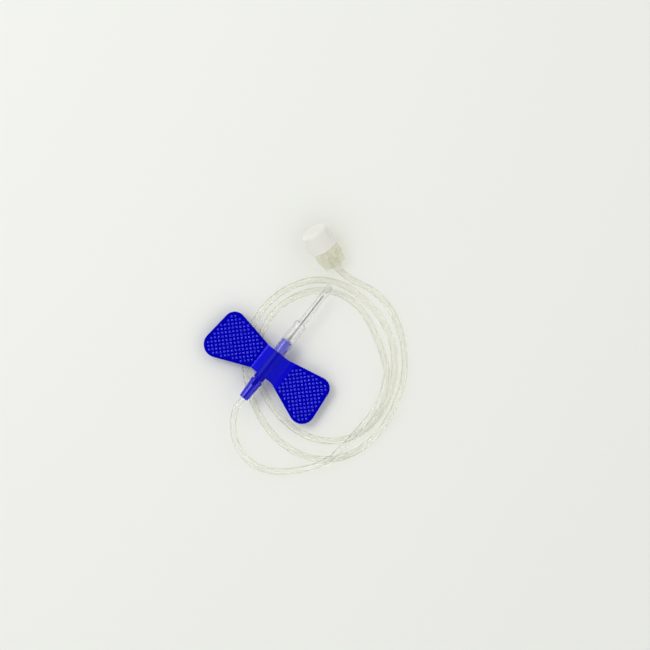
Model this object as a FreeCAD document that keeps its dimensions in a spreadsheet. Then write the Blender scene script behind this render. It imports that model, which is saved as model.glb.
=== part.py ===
import FreeCAD, Part
import math
import os
import re
import Sketcher
from FreeCAD import Placement, Rotation, Vector

# Winged infusion set, lying coiled as it is packed. Millimetres and degrees.
# Origin: on the needle's centreline where it leaves the hub's nose.
# +X runs along the needle to its tip, +Y to the left wing, +Z up.

SIZES = [
    ("needle_height", 5.1, "needle axis above the surface that the set lies on"),
    ("needle_od", 0.55, "cannula outside"),
    ("needle_bore", 0.3, "cannula inside"),
    ("needle_length", 20.0, "cannula ahead of the nose"),
    ("needle_seat", 12.0, "cannula held inside the hub"),
    ("bevel_angle", 13.0, "grind at the tip, to the axis"),
    ("bond_gap", 0.01, "between the adhesive and what it wets"),
    ("bond_reach", 2.4, "adhesive cone ahead of the nose"),
    ("funnel_radius", 1.25, "recess for the adhesive, at the nose"),
    ("funnel_depth", 1.6, "recess for the adhesive"),
    ("nose_radius", 2.02, "hub ahead of the wings"),
    ("nose_length", 4.95, "hub ahead of the wings"),
    ("nose_round", 0.45, "rounding of the nose's front edge"),
    ("shaft_radius", 1.6, "hub inside the sleeve"),
    ("relief_radius", 1.42, "shaft under the key"),
    ("relief_length", 1.2, "shaft under the key"),
    ("collar_start", 16.85, "collar's front face behind the nose"),
    ("collar_radius", 2.15, "collar behind the sleeve"),
    ("collar_length", 1.3, "collar behind the sleeve"),
    ("collar_slope", 0.8, "from the collar down to the shank"),
    ("shank_radius", 2.0, "hub just behind the collar"),
    ("shank_end_radius", 1.66, "hub's rear rim"),
    ("rim_round", 0.3, "rounding of the rear rim"),
    ("hub_length", 24.7, "nose face to rear rim"),
    ("lumen_radius", 0.6, "flow path through the hub"),
    ("socket_depth", 5.6, "tube's seat in the hub"),
    ("socket_gap", 0.02, "between a tube and its seat"),
    ("wing_lift", 2.5, "wings' underside above the surface"),
    ("saddle_front", 5.05, "saddle's front face behind the nose face"),
    ("saddle_rear", 14.8, "saddle's rear face behind the nose face"),
    ("root_half", 4.3, "half width of the wings' roots"),
    ("tip_front", 1.6, "front corner of a wing behind the nose face"),
    ("tip_front_half", 21.7, "front corner of a wing from the axis"),
    ("tip_rear", 22.9, "rear corner of a wing behind the nose face"),
    ("tip_rear_half", 23.8, "rear corner of a wing from the axis"),
    ("tip_front_round", 3.9, "front corner's radius"),
    ("tip_rear_round", 4.5, "rear corner's radius"),
    ("root_round", 4.0, "radius where the right wing's rear edge meets the saddle"),
    ("stock_margin", 4.0, "wing stock beyond the tips, before its outline is cut"),
    ("tip_thickness", 0.75, "wing stock at its end"),
    ("root_thickness", 1.15, "wing at its root"),
    ("step_half", 4.4, "step beside the saddle from the axis"),
    ("step_height", 0.66, "step above the left wing's root"),
    ("step_run", 0.15, "draft of the step"),
    ("step_round", 0.35, "rounding of the step's upper edge"),
    ("crest_radius", 2.4, "top of the sleeve"),
    ("flank_angle", 42.6, "slope of the saddle's sides"),
    ("foot_round", 1.2, "radius where the right side meets its wing"),
    ("pip_pitch", 1.3, "from pip to pip over the wings"),
    ("pip_foot", 0.74, "side of a pip at the wing's surface"),
    ("pip_top", 0.36, "side of a pip at its top"),
    ("pip_height", 0.26, "pip above the wing's surface"),
    ("pip_root", 0.3, "pip below the wing's surface"),
    ("pip_border", 1.0, "from a wing's edge to the centre of a pip"),
    ("pip_back", 11.6, "the pip that each lattice starts from, behind the nose face"),
    ("pip_out", 12.2, "the pip that each lattice starts from, from the axis"),
    ("pip_turn", 45.0, "rows of pips, to the axis"),
    ("sleeve_gap", 0.04, "between the sleeve and the hub's shaft"),
    ("neck_radius", 1.92, "sleeve behind the saddle"),
    ("neck_end", 16.5, "sleeve's rear rim behind the nose face"),
    ("key_half", 0.7, "half width of the sleeve's key"),
    ("key_gap", 0.06, "between the key and its slot"),
    ("key_reach", 1.15, "key behind the sleeve's rim"),
    ("guard_gap", 0.04, "between the protector and the nose"),
    ("guard_wall", 0.29, "protector's wall"),
    ("guard_back", 4.95, "protector's open end behind the nose face"),
    ("guard_shoulder", 7.2, "protector narrows from here"),
    ("guard_cone", 1.1, "length of the narrowing"),
    ("guard_slim", 1.2, "bore past the narrowing"),
    ("guard_length", 29.05, "protector's whole length"),
    ("guard_round", 0.9, "rounding of the protector's closed end"),
    ("tube_od", 2.3, "flexible tube outside"),
    ("coil_x", 3.16, "coil's centre"),
    ("coil_y", -13.74, "coil's centre"),
    ("luer_x", 30.68, "end of the connector's tail"),
    ("luer_y", 2.8, "end of the connector's tail"),
    ("luer_heading", 72.0, "connector's direction from +X"),
    ("luer_tilt", 21.5, "connector's rise towards its cap"),
    ("tail_radius", 1.7, "connector's tail"),
    ("tail_length", 0.6, "connector's tail"),
    ("tail_seat", 4.3, "tube's seat in the connector"),
    ("grip_root", 2.1, "grip's core beside the tail"),
    ("grip_core", 3.0, "grip's core beside the collar"),
    ("grip_length", 3.7, "grip between tail and collar"),
    ("vane_root", 3.9, "grip vane's reach beside the tail"),
    ("vane_reach", 4.3, "grip vane's reach beside the collar"),
    ("vane_half", 0.8, "half thickness of a grip vane"),
    ("ridge_rise", 0.4, "ridge above its vane or finger pad"),
    ("ridge_width", 0.45, "ridge along the connector"),
    ("ridge_pitch", 1.1, "from ridge to ridge"),
    ("ridge_count", 3, "ridges across each vane and each finger pad"),
    ("flange_radius", 3.7, "connector's collar"),
    ("flange_length", 4.0, "connector's collar"),
    ("pad_reach", 4.6, "finger pads beside the collar"),
    ("pad_half", 1.6, "half thickness of the finger pads"),
    ("barrel_radius", 3.35, "socket's outside"),
    ("barrel_length", 6.0, "socket beyond the collar"),
    ("lug_radius", 3.9, "locking lugs"),
    ("lug_half", 1.6, "half width of a lug"),
    ("lug_length", 1.1, "lugs along the barrel"),
    ("luer_mouth", 2.135, "socket's radius at its mouth"),
    ("luer_depth", 7.5, "tapered socket"),
    ("luer_taper", 0.03, "radius lost for each millimetre of depth"),
    ("flow_radius", 0.7, "flow path through the connector"),
    ("cap_gap", 0.12, "between the cap's rim and the collar"),
    ("cap_rim", 5.5, "cap's outside at its open rim"),
    ("cap_top", 4.7, "cap's outside at its closed end"),
    ("cap_wall", 1.0, "cap's wall"),
    ("cap_room", 0.2, "between the barrel's mouth and the cap's floor"),
    ("cap_round", 1.3, "rounding of the closed end"),
    ("plug_gap", 0.04, "between the cap's plug and the socket"),
    ("plug_length", 3.2, "cap's plug inside the socket"),
]

# Points of the tube's free stretches: x, y and the rise above lying on the surface.
HUB_ROUTE = [
    (-35.6, -3.6, 2.9),
    (-39.8, -9.2, 1.3),
    (-41.3, -15.9, 0.3),
    (-39.0, -23.2, 0.0),
    (-32.8, -30.4, 0.6),
    (-25.0, -35.9, 2.6),
    (-17.5, -37.4, 2.7),
    (-9.5, -37.9, 2.6),
    (-2.2, -38.4, 1.3),
    (4.0, -37.7, 0.4),
    (8.9, -35.6, 0.1),
]
LUER_ROUTE = [
    (30.1, -4.5, 0.0),
    (31.5, -9.7, 0.0),
    (31.75, -15.4, 0.0),
]
HUB_RUN_OUT = 4.7
LUER_RUN_OUT = 2.4
ARC_SHARE = 0.45

# Coil: angles are measured from +X less the needle's heading in the picture plane.
COIL_TURN = -52.0
COIL_START = -24.0
COIL_END = 769.0
COIL_STEP = 6.0

doc = FreeCAD.newDocument("winged_infusion_set")
sheet = doc.addObject("Spreadsheet::Sheet", "Sizes")
for row, (alias, value, note) in enumerate(SIZES, start=1):
    sheet.set("A%d" % row, note)
    sheet.set("B%d" % row, str(value))
    sheet.setAlias("B%d" % row, alias)
doc.recompute()
NAMES = {alias for alias, value, note in SIZES}


def size(alias):
    return float(getattr(sheet, alias))


def formula(text):
    """Turns a formula over size names into one over the sheet's cells."""
    return re.sub(r"[a-z_]+", lambda word: "Sizes." + word[0] if word[0] in NAMES else word[0], text)


def bind(item, prop, text):
    item.setExpression(prop, formula(text))


def new_body(label):
    body = doc.addObject("PartDesign::Body", label)
    body.Label = label
    return body


def new_sketch(body, name, role, offset="0"):
    """Empty sketch on one of the body's own origin planes, moved along its normal."""
    sketch = body.newObject("Sketcher::SketchObject", name)
    plane = next(item for item in body.Origin.OriginFeatures if item.Role == role)
    sketch.AttachmentSupport = [(plane, "")]
    sketch.MapMode = "FlatFace"
    bind(sketch, "AttachmentOffset.Base.z", offset)
    return sketch


def add_outline(sketch, corners):
    """Closed outline of straight edges; each corner is a pair of formulas."""
    first = sketch.GeometryCount
    count = len(corners)
    spots = [[float(sketch.evalExpression(formula(text))) for text in corner] for corner in corners]
    for index, (x, y) in enumerate(spots):
        far_x, far_y = spots[(index + 1) % count]
        sketch.addGeometry(Part.LineSegment(Vector(x, y, 0), Vector(far_x, far_y, 0)), False)
    for index in range(count):
        joined = first + (index + 1) % count
        sketch.addConstraint(Sketcher.Constraint("Coincident", first + index, 2, joined, 1))
    for index, corner in enumerate(corners):
        for kind, text, spot in zip(("DistanceX", "DistanceY"), corner, spots[index]):
            rule = sketch.addConstraint(Sketcher.Constraint(kind, -1, 1, first + index, 1, spot))
            bind(sketch, "Constraints[%d]" % rule, text)


def add_circle(sketch, radius):
    centre = Vector(0, 0, 0)
    value = float(sketch.evalExpression(formula(radius)))
    circle = sketch.addGeometry(Part.Circle(centre, Vector(0, 0, 1), value), False)
    sketch.addConstraint(Sketcher.Constraint("Coincident", circle, 3, -1, 1))
    rule = sketch.addConstraint(Sketcher.Constraint("Radius", circle, value))
    bind(sketch, "Constraints[%d]" % rule, radius)


def turn(body, name, corners, axis="H_Axis"):
    """Solid of revolution of a profile in the XZ plane, about X (H) or Z (V)."""
    sketch = new_sketch(body, name + "_profile", "XZ_Plane")
    add_outline(sketch, corners)
    solid = body.newObject("PartDesign::Revolution", name)
    solid.Profile = sketch
    solid.ReferenceAxis = (sketch, [axis])
    solid.Angle = 360
    sketch.Visibility = False
    doc.recompute()
    return solid


def pad(body, name, sketch, length):
    solid = body.newObject("PartDesign::Pad", name)
    solid.Profile = sketch
    bind(solid, "Length", length)
    sketch.Visibility = False
    doc.recompute()
    return solid


def pocket(body, name, sketch, length, both_ways=False):
    """Cuts against the sketch's normal, or along it too, and tests that it removed something."""
    before = body.Shape.Volume
    cut = body.newObject("PartDesign::Pocket", name)
    cut.Profile = sketch
    bind(cut, "Length", length)
    cut.Midplane = both_ways
    sketch.Visibility = False
    doc.recompute()
    if body.Shape.Volume >= before:
        raise RuntimeError(name + " removed nothing")
    return cut


def round_edges(body, name, wanted, radius):
    """Rounds the edges of the body's tip for which wanted(start, end) is true."""
    base = body.Tip
    picked = []
    for index, edge in enumerate(base.Shape.Edges, start=1):
        ends = [vertex.Point for vertex in edge.Vertexes]
        if wanted(ends[0], ends[-1]):
            picked.append("Edge%d" % index)
    fillet = body.newObject("PartDesign::Fillet", name)
    fillet.Base = (base, picked)
    bind(fillet, "Radius", radius)
    doc.recompute()
    return fillet


def near(value, target):
    return abs(value - target) < 0.01


def make_wing_body():
    """One soft moulding: two wings, the saddle and the sleeve round the hub."""
    body = new_body("wing_moulding")
    stock = "tip_rear_half + stock_margin"
    under = "wing_lift - needle_height"
    root_top = "wing_lift - needle_height + root_thickness"
    tip_top = "wing_lift - needle_height + tip_thickness"
    apex = "crest_radius / cos(flank_angle)"
    foot = "(crest_radius / cos(flank_angle) - (%s)) / tan(flank_angle)" % root_top

    section = new_sketch(body, "wing_section", "YZ_Plane", "-tip_rear")
    add_outline(section, [
        ("-(%s)" % stock, under),
        (stock, under),
        (stock, tip_top),
        ("step_half + step_run", root_top),
        ("step_half", root_top + " + step_height"),
        ("0", apex),
        ("-(%s)" % foot, root_top),
        ("-(%s)" % stock, tip_top),
    ])
    pad(body, "wing_stock", section, "tip_rear")

    top = size("crest_radius") / math.cos(math.radians(size("flank_angle")))
    round_edges(body, "crest", lambda a, b: near(a.z, top) and near(b.z, top), "crest_radius")
    level = size("wing_lift") - size("needle_height") + size("root_thickness")
    ledge = level + size("step_height")
    round_edges(body, "step_edge", lambda a, b: near(a.z, ledge) and near(b.z, ledge), "step_round")
    round_edges(body, "right_foot",
                lambda a, b: a.y < 0 and b.y < 0 and near(a.z, level) and near(b.z, level),
                "foot_round")

    plan = new_sketch(body, "wing_plan", "XY_Plane")
    margin = "2 * tip_rear_half"
    add_outline(plan, [
        ("-(%s)" % margin, "-(%s)" % margin),
        (margin, "-(%s)" % margin),
        (margin, margin),
        ("-(%s)" % margin, margin),
    ])
    half = [
        ("-saddle_front", "root_half"),
        ("-tip_front", "tip_front_half"),
        ("-tip_rear", "tip_rear_half"),
        ("-saddle_rear", "root_half"),
    ]
    add_outline(plan, half + [(x, "-" + y) for x, y in reversed(half)])
    pocket(body, "wing_outline", plan, "4 * needle_height", both_ways=True)

    def upright(a, b):
        return near(a.x, b.x) and near(a.y, b.y)

    round_edges(body, "front_corners",
                lambda a, b: upright(a, b) and near(a.x, -size("tip_front")), "tip_front_round")
    round_edges(body, "rear_corners",
                lambda a, b: upright(a, b) and near(a.x, -size("tip_rear")), "tip_rear_round")
    round_edges(body, "right_root",
                lambda a, b: upright(a, b) and near(a.x, -size("saddle_rear")) and a.y < 0,
                "root_round")

    neck = new_sketch(body, "neck_section", "YZ_Plane", "-neck_end")
    add_circle(neck, "neck_radius")
    pad(body, "neck", neck, "neck_end - saddle_rear + root_thickness")

    bore = new_sketch(body, "bore_section", "YZ_Plane", "0")
    add_circle(bore, "shaft_radius + sleeve_gap")
    pocket(body, "bore", bore, "2 * hub_length", both_ways=True)

    key = new_sketch(body, "key_section", "YZ_Plane", "-(neck_end + key_reach)")
    add_outline(key, [
        ("-key_half", "relief_radius + sleeve_gap"),
        ("key_half", "relief_radius + sleeve_gap"),
        ("key_half", "neck_radius - sleeve_gap"),
        ("-key_half", "neck_radius - sleeve_gap"),
    ])
    pad(body, "key", key, "key_reach + relief_length - (collar_start - neck_end) - key_gap")

    wings = doc.addObject("Part::Feature", "wing_body")
    wings.Label = "wing_body"
    flank = float(section.evalExpression(formula(foot))) + size("foot_round") / 2
    wings.Shape = body.Shape.fuse(make_pips(body.Shape, 1, size("step_half") + size("step_run"))
                                  + make_pips(body.Shape, -1, flank))
    return wings


def make_pips(moulding, side, root):
    """Grip pattern of one wing: square frustums on a lattice, inside the wing's edges."""
    under = size("wing_lift") - size("needle_height")
    sole = max((face for face in moulding.Faces if near(face.CenterOfMass.z, under)),
               key=lambda face: face.Area)
    pitch = size("pip_pitch")
    reach = int(size("tip_rear_half") / pitch)
    fall = size("root_thickness") - size("tip_thickness")
    run = size("tip_rear_half") + size("stock_margin") - root
    pips = []
    for row in range(-reach, reach + 1):
        for place in range(-reach, reach + 1):
            across = Rotation(Vector(0, 0, 1), size("pip_turn")).multVec(Vector(row, place, 0))
            x = across.x * pitch - size("pip_back")
            out = across.y * pitch + size("pip_out")
            spot = Vector(x, side * out, under)
            if out < root + size("pip_foot") / 2 or not sole.isInside(spot, 0.01, True):
                continue
            if sole.OuterWire.distToShape(Part.Vertex(spot))[0] < size("pip_border"):
                continue
            level = under + size("root_thickness") - fall * (out - root) / run
            pips.append(frustum(x, side * out, level))
    return pips


def frustum(x, y, level):
    """One pip, from its root inside the wing to its top."""
    slope = (size("pip_foot") - size("pip_top")) / size("pip_height")
    foot = size("pip_foot") + slope * size("pip_root")
    squares = []
    for side, rise in ((foot, -size("pip_root")), (size("pip_top"), size("pip_height"))):
        square = Part.makePolygon([Vector(a * side / 2, b * side / 2, 0)
                                   for a, b in ((-1, -1), (1, -1), (1, 1), (-1, 1), (-1, -1))])
        square.Placement = Placement(Vector(x, y, level + rise),
                                     Rotation(Vector(0, 0, 1), size("pip_turn")))
        squares.append(square)
    return Part.makeLoft(squares, True, True)


def make_needle_hub():
    """Rigid hub: nose for the needle, shaft in the sleeve, collar and socket for the tube."""
    body = new_body("needle_hub")
    turn(body, "hub", [
        ("0", "funnel_radius"),
        ("0", "nose_radius"),
        ("-nose_length", "nose_radius"),
        ("-nose_length", "shaft_radius"),
        ("-(collar_start - relief_length)", "shaft_radius"),
        ("-(collar_start - relief_length)", "relief_radius"),
        ("-collar_start", "relief_radius"),
        ("-collar_start", "collar_radius"),
        ("-(collar_start + collar_length)", "collar_radius"),
        ("-(collar_start + collar_length + collar_slope)", "shank_radius"),
        ("-hub_length", "shank_end_radius"),
        ("-hub_length", "tube_od / 2 + socket_gap"),
        ("-(hub_length - socket_depth)", "tube_od / 2 + socket_gap"),
        ("-(hub_length - socket_depth)", "lumen_radius"),
        ("-(needle_seat + bond_gap)", "lumen_radius"),
        ("-(needle_seat + bond_gap)", "needle_od / 2 + bond_gap"),
        ("-funnel_depth", "needle_od / 2 + bond_gap"),
    ])
    slot = new_sketch(body, "slot_section", "YZ_Plane", "-(collar_start + key_reach)")
    add_outline(slot, [
        ("-(key_half + key_gap)", "relief_radius"),
        ("key_half + key_gap", "relief_radius"),
        ("key_half + key_gap", "2 * collar_radius"),
        ("-(key_half + key_gap)", "2 * collar_radius"),
    ])
    pocket(body, "key_slot", slot, "2 * key_reach", both_ways=True)
    nose = size("nose_radius")
    round_edges(body, "nose_edge",
                lambda a, b: near(a.x, 0) and near(b.x, 0) and near(abs(a.z), nose), "nose_round")
    rear = -size("hub_length")
    rim = size("shank_end_radius")
    round_edges(body, "rear_edge",
                lambda a, b: near(a.x, rear) and near(b.x, rear) and near(abs(a.z), rim), "rim_round")
    return body


def make_cannula():
    """Steel tube with one bevel ground on its tip, facing up."""
    body = new_body("cannula")
    turn(body, "needle_tube", [
        ("-needle_seat", "needle_bore / 2"),
        ("needle_length", "needle_bore / 2"),
        ("needle_length", "needle_od / 2"),
        ("-needle_seat", "needle_od / 2"),
    ])
    grind = new_sketch(body, "grind_profile", "XZ_Plane")
    add_outline(grind, [
        ("needle_length", "-needle_od / 2"),
        ("needle_length + needle_od", "-needle_od / 2"),
        ("needle_length + needle_od", "needle_od"),
        ("needle_length - 1.5 * needle_od / tan(bevel_angle)", "needle_od"),
    ])
    pocket(body, "bevel", grind, "2 * needle_od", both_ways=True)
    return body


def make_needle_bond():
    """Cured adhesive in the nose's funnel, drawn out along the needle."""
    body = new_body("needle_bond")
    turn(body, "bond", [
        ("bond_gap - funnel_depth", "needle_od / 2 + bond_gap"),
        ("bond_reach", "needle_od / 2 + bond_gap"),
        ("bond_reach", "needle_od * 0.6"),
        ("bond_reach / 2", "funnel_radius / 2"),
        ("0", "funnel_radius - 2 * bond_gap"),
        ("2 * bond_gap - funnel_depth", "needle_od / 2 + 2 * bond_gap"),
    ])
    return body


def make_needle_protector():
    """Clear sheath: a wide end pushed over the nose, a slim closed end round the needle."""
    body = new_body("needle_protector")
    wide = "nose_radius + guard_gap"
    shoulder = "guard_shoulder + guard_cone"
    tip = "guard_length - guard_back"
    turn(body, "sheath", [
        ("-guard_back", wide),
        ("guard_shoulder", wide),
        (shoulder, "guard_slim"),
        (tip + " - 3 * guard_wall", "guard_slim - guard_wall / 2"),
        (tip + " - 2 * guard_wall", "0"),
        (tip, "0"),
        (tip, "guard_slim + guard_wall / 2"),
        (shoulder, "guard_slim + guard_wall"),
        ("guard_shoulder", wide + " + guard_wall"),
        ("-guard_back", wide + " + guard_wall"),
    ])
    end = size("guard_length") - size("guard_back")
    round_edges(body, "closed_end",
                lambda a, b: near(a.x, end) and near(b.x, end) and abs(a.z) > 0.1, "guard_round")
    return body


def connector_placement():
    """Connector and cap lie on the cap's open rim, tilted up towards the cap."""
    tilt = math.radians(size("luer_tilt"))
    heading = math.radians(size("luer_heading"))
    along = Vector(math.cos(heading) * math.cos(tilt), math.sin(heading) * math.cos(tilt),
                   math.sin(tilt))
    side = Vector(-math.sin(heading), math.cos(heading), 0)
    rim_height = size("cap_rim") * math.cos(tilt) - size("needle_height")
    tail = Vector(size("luer_x"), size("luer_y"), rim_height - rim_position() * math.sin(tilt))
    return Placement(tail, Rotation(side, along.cross(side), along, "ZXY")), along


def rim_position():
    return size("tail_length") + size("grip_length") + size("flange_length") + size("cap_gap")


def make_luer_connector():
    """Female locking connector: tail, ribbed grip, collar, and a tapered socket with two lugs."""
    body = new_body("luer_connector")
    grip = "tail_length + grip_length"
    flange = grip + " + flange_length"
    mouth = flange + " + barrel_length"
    turn(body, "connector", [
        ("0", "0"),
        ("tail_radius", "0"),
        ("tail_radius", "tail_length"),
        ("grip_root", "tail_length"),
        ("grip_core", grip),
        ("flange_radius", grip),
        ("flange_radius", flange),
        ("barrel_radius", flange),
        ("barrel_radius", mouth),
        ("0", mouth),
    ], axis="V_Axis")
    add_plate(body, "vanes", "vane_half", [
        ("-vane_root", "tail_length"),
        ("vane_root", "tail_length"),
        ("vane_reach", grip),
        ("-vane_reach", grip),
    ])
    add_plate(body, "finger_pads", "pad_half", [
        ("-pad_reach", grip),
        ("pad_reach", grip),
        ("pad_reach", flange),
        ("-pad_reach", flange),
    ])
    slope = "vane_root + (vane_reach - vane_root) / grip_length * (%s)"
    for index in range(int(size("ridge_count"))):
        rise = "ridge_width + ridge_pitch * %d" % index
        add_ridge(body, "vane_ridge_%d" % (index + 1), "vane_half", slope % rise,
                  "tail_length + " + rise)
        add_ridge(body, "pad_ridge_%d" % (index + 1), "pad_half", "pad_reach", grip + " + " + rise)
    add_plate(body, "lugs", "lug_half", [
        ("-lug_radius", mouth + " - lug_length"),
        ("lug_radius", mouth + " - lug_length"),
        ("lug_radius", mouth),
        ("-lug_radius", mouth),
    ])
    hollow(body, "flow_path", [
        ("0", "0"),
        ("tube_od / 2 + socket_gap", "0"),
        ("tube_od / 2 + socket_gap", "tail_seat"),
        ("flow_radius", "tail_seat"),
        ("flow_radius", mouth + " - luer_depth"),
        ("luer_mouth - luer_taper * luer_depth", mouth + " - luer_depth"),
        ("luer_mouth", mouth),
        ("0", mouth),
    ])
    return body


def add_ridge(body, name, carrier_half, reach, low):
    """Ridge across a vane or pad, standing out of both its faces."""
    add_plate(body, name, "(%s + ridge_rise)" % carrier_half, [
        ("-(%s)" % reach, low),
        (reach, low),
        (reach, low + " + ridge_width"),
        ("-(%s)" % reach, low + " + ridge_width"),
    ])


def hollow(body, name, corners):
    """Cuts a profile turned about Z out of the body, and tests that it removed something."""
    before = body.Shape.Volume
    sketch = new_sketch(body, name + "_profile", "XZ_Plane")
    add_outline(sketch, corners)
    groove = body.newObject("PartDesign::Groove", name)
    groove.Profile = sketch
    groove.ReferenceAxis = (sketch, ["V_Axis"])
    groove.Angle = 360
    sketch.Visibility = False
    doc.recompute()
    if body.Shape.Volume >= before:
        raise RuntimeError(name + " removed nothing")


def add_plate(body, name, half, corners):
    """Flat plate through the body's axis, sketched in the XZ plane."""
    sketch = new_sketch(body, name + "_profile", "XZ_Plane")
    add_outline(sketch, corners)
    plate = body.newObject("PartDesign::Pad", name)
    plate.Profile = sketch
    plate.Midplane = True
    bind(plate, "Length", "2 * " + half)
    sketch.Visibility = False
    doc.recompute()
    return plate


def make_luer_cap():
    """Push-on cap: outer skirt round the lugs and a plug in the tapered socket."""
    body = new_body("luer_cap")
    rim = "tail_length + grip_length + flange_length + cap_gap"
    mouth = "tail_length + grip_length + flange_length + barrel_length"
    floor = mouth + " + cap_room"
    plug_root = "luer_mouth - plug_gap"
    plug_end = plug_root + " - luer_taper * plug_length"
    turn(body, "cap", [
        ("cap_rim - cap_wall", rim),
        ("cap_rim", rim),
        ("cap_top", floor + " + cap_wall"),
        ("0", floor + " + cap_wall"),
        ("0", mouth + " - plug_length"),
        (plug_end, mouth + " - plug_length"),
        (plug_root, mouth),
        (plug_root, floor),
        ("cap_top - cap_wall / 2", floor),
    ], axis="V_Axis")
    top = (rim_position() - size("cap_gap") + size("barrel_length") + size("cap_room")
           + size("cap_wall"))
    round_edges(body, "closed_edge",
                lambda a, b: near(a.z, top) and near(b.z, top) and abs(a.x) > 0.1, "cap_round")
    return body


def lying(x, y, rise):
    """Point on a tube's centreline, by its rise above lying on the surface."""
    return Vector(x, y, size("tube_od") / 2 - size("needle_height") + rise)


def make_tube(label, points):
    """Plain tube along straight runs joined by tangent arcs."""
    radius = size("tube_od") / 2
    edges = []
    bends = []
    start = points[0]
    for before, corner, after in zip(points, points[1:], points[2:]):
        back = before - corner
        ahead = after - corner
        turned = math.pi - back.getAngle(ahead)
        setback = ARC_SHARE * min(back.Length, ahead.Length)
        bends.append(setback / math.tan(turned / 2))
        arc_start = corner + back.normalize() * setback
        arc_end = corner + ahead.normalize() * setback
        towards_centre = (back + ahead).normalize()
        dip = bends[-1] * (1 / math.cos(turned / 2) - 1)
        edges.append(Part.LineSegment(start, arc_start).toShape())
        edges.append(Part.Arc(arc_start, corner + towards_centre * dip, arc_end).toShape())
        start = arc_end
    edges.append(Part.LineSegment(start, points[-1]).toShape())
    path = Part.Wire(edges)
    ring = Part.Wire(Part.makeCircle(radius, points[0], points[1] - points[0]))
    tube = doc.addObject("Part::Feature", label)
    tube.Label = label
    tube.Shape = path.makePipeShell([ring], True, False)
    wanted = math.pi * radius ** 2 * path.Length
    print("%s: length %.1f, volume %.1f of %.1f, bend radii %s" % (
        label, path.Length, tube.Shape.Volume, wanted, " ".join("%.0f" % bend for bend in bends)))
    tube.Placement = Placement()
    return tube


def make_tubes():
    """Free stretches of the tube, from the hub to the coil and from the coil to the connector."""
    seat = -(size("hub_length") - size("socket_depth")) - size("socket_gap")
    hub_points = [Vector(seat, 0, 0), Vector(-size("hub_length") - HUB_RUN_OUT, 0, 0)]
    hub_points += [lying(*spot) for spot in HUB_ROUTE]
    hub_end = make_tube("tubing_hub_end", hub_points)

    placement, along = connector_placement()
    tail = placement.Base
    inner = size("tail_seat") - size("socket_gap")
    luer_points = [tail + along * inner, tail - along * LUER_RUN_OUT]
    luer_points += [lying(*spot) for spot in LUER_ROUTE]
    luer_end = make_tube("tubing_connector_end", luer_points)
    return [hub_end, luer_end]


def ease(angle, low, high):
    """Rises smoothly from 0 to 1 between two angles."""
    share = min(1.0, max(0.0, (angle - low) / (high - low)))
    return share * share * (3 - 2 * share)


def bulge(angle, peak):
    """A bulge of one turn, 1 at its peak."""
    away = min(180.0, abs(angle - peak))
    return ((1 + math.cos(math.radians(away))) / 2) ** 6


def lane(angle):
    """Radius of the tube's centreline in the coil, by the angle run so far."""
    radius = 19.4 + 3.4 * (1 - ease(angle, -24, 14))
    radius += 4.35 * ease(angle, 25, 95) + 3.75 * ease(angle, 400, 460)
    radius += 5.2 * bulge(angle, 283) + 7.6 * bulge(angle, 630)
    return radius + 1.1 * ease(angle, 735, 765)


def coil_point(angle, radius):
    seen = math.radians(angle + COIL_TURN)
    return Vector(size("coil_x") + radius * math.cos(seen), size("coil_y") + radius * math.sin(seen),
                  -size("needle_height"))


def closed_curve(points):
    curve = Part.BSplineCurve()
    curve.interpolate(Points=points, PeriodicFlag=True)
    return Part.Wire(curve.toShape())


def make_coil():
    """Outer shape of the coil: the flat ring between its innermost and outermost lanes."""
    half = size("tube_od") / 2
    count = round(360 / COIL_STEP)
    outer = []
    inner = []
    for index in range(count):
        angle = COIL_START + index * COIL_STEP
        last = ease(angle, COIL_END - 720, COIL_END - 720 + 2 * COIL_STEP)
        far = lane(min(angle + 720, COIL_END)) * (1 - last) + lane(angle + 360) * last
        joined = ease(angle, COIL_START, COIL_START + COIL_STEP)
        close = lane(angle + 360) * (1 - joined) + lane(angle) * joined
        outer.append(coil_point(angle, far + half))
        inner.append(coil_point(angle, close - half))
    face = Part.Face(closed_curve(outer)).cut(Part.Face(closed_curve(inner))).Faces[0]
    coil = doc.addObject("Part::Feature", "tubing_coil")
    coil.Label = "tubing_coil"
    coil.Shape = face.extrude(Vector(0, 0, size("tube_od")))
    coil.Placement = Placement()
    step = math.radians(1)
    angles = range(int(COIL_START), int(COIL_END))
    print("tubing_coil: %.1f of tube in it" % sum(lane(angle) * step for angle in angles))
    return coil


nodes = [
    make_wing_body(),
    make_needle_hub(),
    make_cannula(),
    make_needle_bond(),
    make_needle_protector(),
    make_luer_connector(),
    make_luer_cap(),
]
for tilted in nodes[-2:]:
    tilted.Placement = connector_placement()[0]
nodes += make_tubes()
nodes.append(make_coil())
doc.recompute()

for item in doc.Objects:
    if "Invalid" in item.State or "Error" in item.State:
        raise RuntimeError("%s failed: %s" % (item.Name, item.State))
for node in nodes:
    shape = node.Shape
    if shape.isNull() or not shape.isValid() or len(shape.Solids) != 1:
        raise RuntimeError("%s is not one valid solid" % node.Label)

os.makedirs("parts", exist_ok=True)
for node in nodes:
    node.Shape.exportStep("parts/%s.step" % node.Label)
    box = node.Shape.optimalBoundingBox()
    print("%-22s %8.1f mm3  x %6.2f %6.2f  y %6.2f %6.2f  z %6.2f %6.2f" % (
        node.Label, node.Shape.Volume, box.XMin, box.XMax, box.YMin, box.YMax, box.ZMin, box.ZMax))
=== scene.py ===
import math

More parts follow.
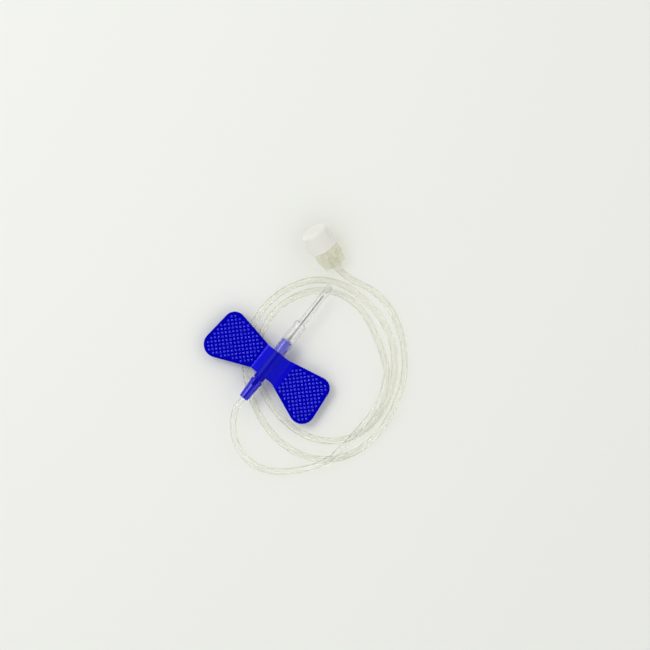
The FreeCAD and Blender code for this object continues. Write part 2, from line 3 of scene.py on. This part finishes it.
import bmesh
import bpy
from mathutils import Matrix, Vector


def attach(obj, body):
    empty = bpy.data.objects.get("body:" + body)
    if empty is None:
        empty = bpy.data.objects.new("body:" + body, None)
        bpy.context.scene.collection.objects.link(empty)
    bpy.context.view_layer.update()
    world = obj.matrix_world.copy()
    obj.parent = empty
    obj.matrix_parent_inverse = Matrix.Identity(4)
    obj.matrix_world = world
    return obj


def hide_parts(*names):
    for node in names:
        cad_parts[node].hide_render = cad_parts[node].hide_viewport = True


# Winged infusion set lying coiled on a pale bench, seen from straight above.
# Everything is in metres in the frame of the CAD model: +X along the needle.

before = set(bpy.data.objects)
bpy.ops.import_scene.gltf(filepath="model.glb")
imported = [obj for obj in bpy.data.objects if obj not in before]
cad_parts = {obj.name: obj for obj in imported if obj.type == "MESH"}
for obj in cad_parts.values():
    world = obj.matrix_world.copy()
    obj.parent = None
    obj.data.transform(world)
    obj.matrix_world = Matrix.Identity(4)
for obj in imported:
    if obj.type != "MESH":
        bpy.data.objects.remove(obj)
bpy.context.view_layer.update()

MM = 0.001
BENCH = -5.1 * MM
BENCH_HALF = 1.5
TUBE_OUTSIDE = 2.3 * MM
TUBE_BORE = 1.2 * MM
TUBE_SIDES = 40

# The picture: the needle points 52 degrees above its right side, at 2.9 pixels a millimetre.
HEADING = math.radians(52)
PICTURE_WIDTH = 650 / 2.9 * MM
PICTURE_CENTRE = Vector((12.26 * MM, -6.64 * MM, BENCH))
CAMERA_DISTANCE = 0.9
SENSOR = 36.0


def colour(hex_text):
    """sRGB hex to the linear colour that shaders use."""
    parts = [int(hex_text[at:at + 2], 16) / 255 for at in (1, 3, 5)]
    return [v / 12.92 if v <= 0.04045 else ((v + 0.055) / 1.055) ** 2.4 for v in parts] + [1.0]


def in_picture(right, up, height):
    """Point given by its place in the picture and its height over the bench."""
    across = Vector((math.cos(HEADING), -math.sin(HEADING), 0))
    upward = Vector((math.sin(HEADING), math.cos(HEADING), 0))
    return PICTURE_CENTRE + across * right + upward * up + Vector((0, 0, height))


def make_camera():
    """Camera straight above, turned so that the needle points as in the photo."""
    data = bpy.data.cameras.new("camera")
    data.sensor_width = SENSOR
    data.lens = CAMERA_DISTANCE * SENSOR / PICTURE_WIDTH
    data.clip_start = 0.01
    camera = bpy.data.objects.new("camera", data)
    bpy.context.scene.collection.objects.link(camera)
    camera.location = in_picture(0, 0, CAMERA_DISTANCE)
    camera.rotation_euler = (0, 0, -HEADING)
    bpy.context.scene.camera = camera


# Route of the tube. Along the hub's axis, x in millimetres.
HUB_SEAT = -19.12
HUB_RIM = -25.2
HUB_RUN_OUT = -29.4

# From the hub to the coil: x, y and rise above lying on the bench, in millimetres. The loop
# rises where it crosses over the coil.
HUB_ROUTE = [
    (-35.6, -3.6, 2.9),
    (-39.8, -9.2, 1.3),
    (-41.3, -15.9, 0.3),
    (-39.0, -23.2, 0.0),
    (-32.8, -30.4, 0.6),
    (-25.0, -35.9, 2.6),
    (-17.5, -37.4, 2.7),
    (-9.5, -37.9, 2.6),
    (-2.2, -38.4, 1.3),
    (4.0, -37.7, 0.4),
    (8.9, -35.6, 0.1),
]

# From the coil to the connector, in the same way, and the connector's tail and axis.
LUER_ROUTE = [
    (31.75, -15.4, 0.0),
    (31.5, -9.7, 0.0),
    (30.1, -4.5, 0.0),
]
LUER_TAIL = Vector((30.68, 2.8, -3.0686)) * MM
LUER_HEADING = math.radians(72)
LUER_TILT = math.radians(21.5)
LUER_SEAT = 4.28 * MM
LUER_RUN_OUT = 2.4 * MM

# The coil: its middle, and the angles in degrees between which the tube runs round it.
COIL_CENTRE = Vector((3.16, -13.74, 0)) * MM
COIL_START = -24.0
COIL_END = 769.0
COIL_POINTS = 61

# The lattice of pips over each wing: its pitch, the pip that it starts from and how far a
# dome's normal leans at a pitch from its middle.
PIP_PITCH = 1.3 * MM
PIP_BACK = 11.6 * MM
PIP_OUT = 12.2 * MM
PIP_TURN = math.radians(45)
PIP_CURVE = 2.3

# The wing moulding: how its upper skin falls outward, where a pip starts to stand out of
# that skin and where it stands out fully, the saddle's middle and half width, and its step.
WING_FALL = 0.0171
PIP_FOOT_LEVEL = -1.32 * MM
PIP_TOP_LEVEL = -1.24 * MM
SADDLE_MIDDLE = -1.3 * MM
SADDLE_HALF = 5.8 * MM
STEP = 4.4 * MM
STEP_HALF = 0.3 * MM


def ease(angle, low, high):
    """Rises smoothly from 0 to 1 between two angles."""
    share = min(1.0, max(0.0, (angle - low) / (high - low)))
    return share * share * (3 - 2 * share)


def bulge(angle, peak):
    """A bulge of one turn, 1 at its peak."""
    away = min(180.0, abs(angle - peak))
    return ((1 + math.cos(math.radians(away))) / 2) ** 6


def lane(angle):
    """Radius of the tube's centreline in the coil, in millimetres, by the angle run so far.

    The tube eases in to its innermost turn and out to the next lanes, and its first two turns
    bulge towards the bottom of the picture, as traced in the photo.
    """
    radius = 19.4 + 3.4 * (1 - ease(angle, -24, 14))
    radius += 4.35 * ease(angle, 25, 95) + 3.75 * ease(angle, 400, 460)
    radius += 5.2 * bulge(angle, 283) + 7.6 * bulge(angle, 630)
    return radius + 1.1 * ease(angle, 735, 765)


def lying(x, y, rise):
    """Point on the tube's centreline, by its rise above lying on the bench."""
    return Vector((x * MM, y * MM, BENCH + TUBE_OUTSIDE / 2 + rise * MM))


def coil_point(angle):
    """Point on the tube's centreline in the coil; angles start at the picture's right."""
    seen = math.radians(angle) - HEADING
    radius = lane(angle)
    return lying(COIL_CENTRE.x / MM + radius * math.cos(seen),
                 COIL_CENTRE.y / MM + radius * math.sin(seen), 0)


def tube_route():
    """The whole tube's route, from its seat in the hub to its seat in the connector."""
    points = [Vector((x * MM, 0, 0)) for x in (HUB_SEAT, HUB_RIM, HUB_RUN_OUT)]
    points += [lying(*spot) for spot in HUB_ROUTE]
    step = (COIL_END - COIL_START) / COIL_POINTS
    points += [coil_point(COIL_START + step * index) for index in range(1, COIL_POINTS)]
    points += [lying(*spot) for spot in LUER_ROUTE]
    along = Vector((math.cos(LUER_HEADING) * math.cos(LUER_TILT),
                    math.sin(LUER_HEADING) * math.cos(LUER_TILT), math.sin(LUER_TILT)))
    return points + [LUER_TAIL - along * LUER_RUN_OUT, LUER_TAIL, LUER_TAIL + along * LUER_SEAT]


def smooth_line(points):
    """Points along the NURBS spline that has these control points."""
    data = bpy.data.curves.new("route", "CURVE")
    data.dimensions = "3D"
    data.resolution_u = 12
    spline = data.splines.new("NURBS")
    spline.points.add(len(points) - 1)
    for knot, point in zip(spline.points, points):
        knot.co = (*point, 1)
    spline.order_u = 3
    spline.use_endpoint_u = True
    route = bpy.data.objects.new("route", data)
    bpy.context.scene.collection.objects.link(route)
    drawn = bpy.data.meshes.new_from_object(route)
    line = [vertex.co.copy() for vertex in drawn.vertices]
    bpy.data.objects.remove(route)
    return line


def add_piece(name, mesh_builder, material, body):
    """New object from a bmesh, smooth, riding on a body."""
    mesh = bpy.data.meshes.new(name)
    mesh_builder.to_mesh(mesh)
    mesh_builder.free()
    for face in mesh.polygons:
        face.use_smooth = True
    piece = bpy.data.objects.new(name, mesh)
    bpy.context.scene.collection.objects.link(piece)
    mesh.materials.append(material)
    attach(piece, body)
    return piece


def sweep_wall(mesh, line, radius, inward):
    """Wall of a round tube along a line; returns its first and last rings."""
    rings = []
    for index, spot in enumerate(line):
        ahead = line[min(index + 1, len(line) - 1)] - line[max(index - 1, 0)]
        across = ahead.cross(Vector((0, 0, 1))).normalized()
        over = across.cross(ahead).normalized()
        ring = []
        for side in range(TUBE_SIDES):
            turn = 2 * math.pi * side / TUBE_SIDES
            ring.append(mesh.verts.new(spot + across * radius * math.cos(turn)
                                       + over * radius * math.sin(turn)))
        rings.append(ring)
    for first, second in zip(rings, rings[1:]):
        for side in range(TUBE_SIDES):
            corner = (side + 1) % TUBE_SIDES
            quad = [first[side], first[corner], second[corner], second[side]]
            mesh.faces.new(quad if inward else quad[::-1])
    return rings[0], rings[-1]


def make_tube(material):
    """Clear flexible tube with its bore, one piece from hub to connector."""
    line = smooth_line(tube_route())
    mesh = bmesh.new()
    outer = sweep_wall(mesh, line, TUBE_OUTSIDE / 2, False)
    inner = sweep_wall(mesh, line, TUBE_BORE / 2, True)
    for end, (wide, narrow) in enumerate(zip(outer, inner)):
        for side in range(TUBE_SIDES):
            corner = (side + 1) % TUBE_SIDES
            quad = [wide[side], wide[corner], narrow[corner], narrow[side]]
            mesh.faces.new(quad if end == 0 else quad[::-1])
    bmesh.ops.recalc_face_normals(mesh, faces=mesh.faces)
    tube = add_piece("tubing", mesh, material, "set")
    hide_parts("tubing_hub_end", "tubing_coil", "tubing_connector_end")


def new_material(name):
    """New material with an empty node tree."""
    made = bpy.data.materials.new(name)
    made.use_nodes = True
    made.node_tree.nodes.clear()
    return made, made.node_tree


def add(tree, kind, inputs=None, **settings):
    """Adds a shader node; its inputs are numbers, colours or other nodes' sockets."""
    made = tree.nodes.new(kind)
    for name, value in settings.items():
        setattr(made, name, value)
    for name, value in (inputs or {}).items():
        if isinstance(value, bpy.types.NodeSocket):
            tree.links.new(value, made.inputs[name])
        else:
            made.inputs[name].default_value = value
    return made


def calculate(tree, operation, first, second=0.0, third=0.0):
    """Result of a Math node."""
    return add(tree, "ShaderNodeMath", {0: first, 1: second, 2: third},
               operation=operation).outputs[0]


def finish_material(tree, shader):
    """Joins the finished shader to the material's output."""
    add(tree, "ShaderNodeOutputMaterial", {"Surface": shader.outputs[0]})


def surface_noise(tree, grain_mm, stretch=(1, 1, 1)):
    """Noise with a grain of so many millimetres, fixed to the object."""
    place = add(tree, "ShaderNodeTexCoord")
    drawn = add(tree, "ShaderNodeMapping", {"Vector": place.outputs["Object"], "Scale": stretch})
    noise = add(tree, "ShaderNodeTexNoise", {
        "Vector": drawn.outputs["Vector"], "Scale": 1 / (grain_mm * MM), "Detail": 2.0})
    return noise.outputs["Fac"]


def relief(tree, grain_mm, depth_mm, edge_mm=0.0, stretch=(1, 1, 1)):
    """Fine unevenness from the mould or die, over edges that have a small radius."""
    inputs = {"Height": surface_noise(tree, grain_mm, stretch), "Distance": depth_mm * MM}
    if edge_mm:
        soft = add(tree, "ShaderNodeBevel", {"Radius": edge_mm * MM}, samples=6)
        inputs["Normal"] = soft.outputs["Normal"]
    return add(tree, "ShaderNodeBump", inputs).outputs["Normal"]


def pip_domes(tree, spot, out):
    """Normal of the rounded pips, which stand on a turned square lattice, mirrored from wing
    to wing; spot is the place on the part and out its distance from the axis."""
    lattice = add(tree, "ShaderNodeCombineXYZ", {
        "X": calculate(tree, "ADD", spot.outputs["X"], PIP_BACK),
        "Y": calculate(tree, "SUBTRACT", out, PIP_OUT)})
    turned = add(tree, "ShaderNodeMapping", {
        "Vector": lattice.outputs[0], "Rotation": (0, 0, -PIP_TURN),
        "Scale": (1 / PIP_PITCH, 1 / PIP_PITCH, 1)})
    nearest = add(tree, "ShaderNodeTexVoronoi", {
        "Vector": turned.outputs[0], "Scale": 1.0, "Randomness": 0.0}, voronoi_dimensions="2D")
    away = add(tree, "ShaderNodeVectorMath", {
        0: turned.outputs[0], 1: nearest.outputs["Position"]}, operation="SUBTRACT")
    slope = add(tree, "ShaderNodeMapping", {
        "Vector": away.outputs[0], "Rotation": (0, 0, PIP_TURN),
        "Scale": (PIP_CURVE, PIP_CURVE, 0), "Location": (0, 0, 1)})
    mirror = add(tree, "ShaderNodeCombineXYZ", {
        "X": 1.0, "Y": calculate(tree, "SIGN", spot.outputs["Y"]), "Z": 1.0})
    facing = add(tree, "ShaderNodeVectorMath", {
        0: slope.outputs[0], 1: mirror.outputs[0]}, operation="MULTIPLY")
    return add(tree, "ShaderNodeVectorMath", {0: facing.outputs[0]},
               operation="NORMALIZE").outputs[0]


def moulded_soft_pvc():
    """Plasticised PVC, injection moulded and dyed royal blue: deep colour, a satin skin from
    the eroded mould, the saddle's flanks painted a lighter blue than its crest as painted
    light from the sides, and rounded, polished pips on the wings, each with its own glint over
    matt ground. The pips' tops and the saddle's step are painted a brighter blue as painted
    highlights."""
    made, tree = new_material("moulded_soft_pvc")
    dye = add(tree, "ShaderNodeMixRGB", {
        "Fac": surface_noise(tree, 4.0), "Color1": colour("#0000A8"), "Color2": colour("#0000BC")})
    place = add(tree, "ShaderNodeTexCoord")
    spot = add(tree, "ShaderNodeSeparateXYZ", {"Vector": place.outputs["Object"]})
    out = calculate(tree, "ABSOLUTE", spot.outputs["Y"])
    level = calculate(tree, "ADD", spot.outputs["Z"], calculate(tree, "MULTIPLY", out, WING_FALL))
    raised = add(tree, "ShaderNodeMapRange", {
        "Value": level, "From Min": PIP_FOOT_LEVEL, "From Max": PIP_TOP_LEVEL}).outputs["Result"]
    beside = calculate(tree, "ABSOLUTE", calculate(
        tree, "SUBTRACT", spot.outputs["Y"], SADDLE_MIDDLE))
    wing = calculate(tree, "GREATER_THAN", beside, SADDLE_HALF)
    pip = calculate(tree, "MULTIPLY", raised, wing)
    step = calculate(tree, "COMPARE", spot.outputs["Y"], STEP, STEP_HALF)
    shine = calculate(tree, "MAXIMUM", pip, step)
    # Painted light: away from the axis, the saddle's flanks are painted a lighter blue than its
    # crest, as light from the sides would show them.
    off_crest = add(tree, "ShaderNodeMapRange", {
        "Value": out, "From Min": 0.9 * MM, "From Max": 2.5 * MM}).outputs["Result"]
    painted_flank_light = calculate(tree, "MULTIPLY", off_crest, calculate(tree, "SUBTRACT", 1.0, wing))
    skin = add(tree, "ShaderNodeMixRGB", {
        "Fac": painted_flank_light, "Color1": dye.outputs["Color"], "Color2": colour("#0000D4")})
    # Painted highlights: the pips' tops and the saddle's step are painted a brighter blue.
    tint = add(tree, "ShaderNodeMixRGB", {
        "Fac": shine, "Color1": skin.outputs["Color"], "Color2": colour("#0606FA")})
    roughness = add(tree, "ShaderNodeMapRange", {
        "Value": shine, "To Min": 0.42, "To Max": 0.2}).outputs["Result"]
    satin = calculate(tree, "MULTIPLY_ADD", wing, -0.11, 0.14)
    gloss = calculate(tree, "MAXIMUM", calculate(tree, "MULTIPLY_ADD", pip, 0.7, satin), step)
    normal = add(tree, "ShaderNodeMix", {
        "Factor": pip, 4: relief(tree, 0.3, 0.003, edge_mm=0.1),
        5: pip_domes(tree, spot, out)}, data_type="VECTOR")
    shader = add(tree, "ShaderNodeBsdfPrincipled", {
        "Base Color": tint.outputs["Color"], "Roughness": roughness, "IOR": 1.52,
        "Specular IOR Level": gloss, "Normal": normal.outputs[1]})
    finish_material(tree, shader)
    return made


def moulded_abs():
    """ABS from a polished mould, dyed blue-violet: hard gloss with narrow streaks of light."""
    made, tree = new_material("moulded_abs")
    shader = add(tree, "ShaderNodeBsdfPrincipled", {
        "Base Color": colour("#140CC8"), "Roughness": 0.22, "IOR": 1.54,
        "Normal": relief(tree, 0.6, 0.002, edge_mm=0.12)})
    finish_material(tree, shader)
    return made


def drawn_stainless_steel():
    """Stainless steel tube, drawn and electropolished: dark grey with faint lines along it."""
    made, tree = new_material("drawn_stainless_steel")
    shader = add(tree, "ShaderNodeBsdfPrincipled", {
        "Base Color": colour("#9A9A99"), "Metallic": 1.0, "Roughness": 0.24,
        "Normal": relief(tree, 0.05, 0.002, stretch=(0.02, 1, 1))})
    finish_material(tree, shader)
    return made


def see_through(tree, tint, shade, roughness, ior, normal, haze=0.0, gloss=0.5, thin=0.0,
                painted_rim_shade=None):
    """Clear plastic, which bends what is seen through it and casts only a pale shade.

    haze is the share of light that scatters on it, gloss the strength of its reflections,
    thin the share of light that passes straight on, as through a thin wall, and rim the
    colour of a painted shade along its edges, where the wall is seen at a slant, standing in
    for the darker edges that bent light gives.
    """
    body = add(tree, "ShaderNodeBsdfPrincipled", {
        "Base Color": tint, "Roughness": roughness, "IOR": ior, "Transmission Weight": 1.0,
        "Specular IOR Level": gloss, "Normal": normal})
    if haze:
        milky = add(tree, "ShaderNodeBsdfPrincipled", {
            "Base Color": tint, "Roughness": max(0.35, roughness), "IOR": ior, "Normal": normal})
        body = add(tree, "ShaderNodeMixShader", {
            "Fac": haze, 1: body.outputs[0], 2: milky.outputs[0]})
    path = add(tree, "ShaderNodeLightPath")
    passing = calculate(tree, "MAXIMUM", path.outputs["Is Shadow Ray"],
                        path.outputs["Is Diffuse Ray"])
    # Painted shade: where the wall is seen at a slant, the light passing straight on is painted
    # the rim colour, standing in for the darker edges that bent light gives.
    if painted_rim_shade:
        slant = add(tree, "ShaderNodeLayerWeight", {"Blend": 0.5})
        shade = add(tree, "ShaderNodeMixRGB", {
            "Fac": calculate(tree, "POWER", slant.outputs["Facing"], 4.0), "Color1": shade,
            "Color2": painted_rim_shade}).outputs["Color"]
    veil = add(tree, "ShaderNodeBsdfTransparent", {"Color": shade})
    return add(tree, "ShaderNodeMixShader", {
        "Fac": calculate(tree, "MAXIMUM", passing, thin), 1: body.outputs[0],
        2: veil.outputs[0]})


def extruded_clear_pvc():
    """Plasticised PVC, extruded clear: wet-looking walls with bright edges, faintly yellow, and a
    pale grey painted shade where a wall is seen at a slant.
    """
    made, tree = new_material("extruded_clear_pvc")
    finish_material(tree, see_through(
        tree, colour("#FFFFFE"), colour("#FFFFFD"), 0.06, 1.53, relief(tree, 8.0, 0.01),
        gloss=1.0, thin=0.5, painted_rim_shade=colour("#DEDFDA")))
    return made


def moulded_clear_polypropylene():
    """Clarified polypropylene sheath: see-through, with a slight haze that takes a broad sheen,
    and a faint painted shade where a wall is seen at a slant.
    """
    made, tree = new_material("moulded_clear_polypropylene")
    finish_material(tree, see_through(
        tree, colour("#FFFFFF"), colour("#FDFDFD"), 0.03, 1.49, relief(tree, 1.5, 0.003),
        haze=0.18, gloss=0.2, thin=0.7, painted_rim_shade=colour("#E8E8E8")))
    return made


def moulded_mabs():
    """Transparent MABS with a pale yellow-green cast: glassy with soft depth."""
    made, tree = new_material("moulded_mabs")
    finish_material(tree, see_through(
        tree, colour("#F6F6EA"), colour("#F8F8F2"), 0.2, 1.54,
        relief(tree, 2.0, 0.004, edge_mm=0.15), haze=0.35, gloss=0.35, thin=0.3))
    return made


def moulded_natural_polyethylene():
    """Undyed polyethylene: waxy, milky white that light shines into."""
    made, tree = new_material("moulded_natural_polyethylene")
    finish_material(tree, see_through(
        tree, colour("#F6F6F3"), colour("#F4F4F1"), 0.35, 1.51,
        relief(tree, 0.5, 0.004, edge_mm=0.15), haze=0.6))
    return made


def cured_acrylate():
    """Light-cured acrylate adhesive: a clear wet-looking bead."""
    made, tree = new_material("cured_acrylate")
    finish_material(tree, see_through(
        tree, colour("#FBFAF5"), colour("#F9F8F4"), 0.08, 1.5, relief(tree, 0.8, 0.004),
        haze=0.04, thin=0.4))
    return made


def painted_bench():
    """Pale painted bench: matt, even, a shade darker than white so that clear plastic shows."""
    made, tree = new_material("painted_bench")
    shader = add(tree, "ShaderNodeBsdfPrincipled", {
        "Base Color": colour("#F3F5F1"), "Roughness": 0.7, "Specular IOR Level": 0.2})
    finish_material(tree, shader)
    return made


def dress(node, material):
    """Gives a CAD node its finish."""
    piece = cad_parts[node]
    piece.data.materials.clear()
    piece.data.materials.append(material)


def make_bench():
    """Plain floor that the set lies on."""
    data = bmesh.new()
    bmesh.ops.create_grid(data, x_segments=1, y_segments=1, size=BENCH_HALF)
    mesh = bpy.data.meshes.new("bench")
    data.to_mesh(mesh)
    data.free()
    bench = bpy.data.objects.new("bench", mesh)
    bench.location = (0, 0, BENCH)
    bpy.context.scene.collection.objects.link(bench)
    mesh.materials.append(painted_bench())


def add_lamp(name, spot, width, height, watts):
    """Soft box aimed at the middle of the picture."""
    data = bpy.data.lights.new(name, "AREA")
    data.shape = "RECTANGLE"
    data.size = width
    data.size_y = height
    data.energy = watts
    lamp = bpy.data.objects.new(name, data)
    bpy.context.scene.collection.objects.link(lamp)
    lamp.location = spot
    lamp.rotation_euler = (PICTURE_CENTRE - spot).to_track_quat("-Z", "Y").to_euler()
    lamp.visible_transmission = False


def make_light():
    """One soft box at the upper left, in a room that is brightest halfway up its walls; the
    room is even and pale where it is looked at or seen through clear plastic."""
    add_lamp("soft_box", in_picture(-0.5, 0.32, 0.75), 0.42, 0.42, 2.4)
    world = bpy.data.worlds.new("studio")
    bpy.context.scene.world = world
    world.use_nodes = True
    tree = world.node_tree
    tree.nodes.clear()
    place = add(tree, "ShaderNodeTexCoord")
    height = add(tree, "ShaderNodeSeparateXYZ", {"Vector": place.outputs["Generated"]})
    below = add(tree, "ShaderNodeMapRange", {
        "Value": height.outputs["Z"], "From Min": 0.02, "From Max": 0.4, "To Min": 0.2,
        "To Max": 1.0}, interpolation_type="SMOOTHSTEP")
    above = add(tree, "ShaderNodeMapRange", {
        "Value": height.outputs["Z"], "From Min": 0.96, "From Max": 0.7, "To Min": 0.01,
        "To Max": 1.15}, interpolation_type="SMOOTHSTEP")
    path = add(tree, "ShaderNodeLightPath")
    walls = add(tree, "ShaderNodeMix", {
        "Factor": calculate(tree, "MAXIMUM", path.outputs["Is Camera Ray"], calculate(
            tree, "MULTIPLY", path.outputs["Is Transmission Ray"], 0.9)),
        "A": calculate(tree, "MULTIPLY", below.outputs["Result"], above.outputs["Result"]),
        "B": 0.85})
    room = add(tree, "ShaderNodeBackground", {
        "Color": colour("#FEFDFB"), "Strength": walls.outputs["Result"]})
    add(tree, "ShaderNodeOutputWorld", {"Surface": room.outputs[0]})


make_camera()
make_tube(extruded_clear_pvc())

dress("wing_body", moulded_soft_pvc())
dress("needle_hub", moulded_abs())
dress("cannula", drawn_stainless_steel())
dress("needle_bond", cured_acrylate())
dress("needle_protector", moulded_clear_polypropylene())
dress("luer_connector", moulded_mabs())
dress("luer_cap", moulded_natural_polyethylene())

make_bench()
make_light()
bpy.context.scene.view_settings.view_transform = "Standard"
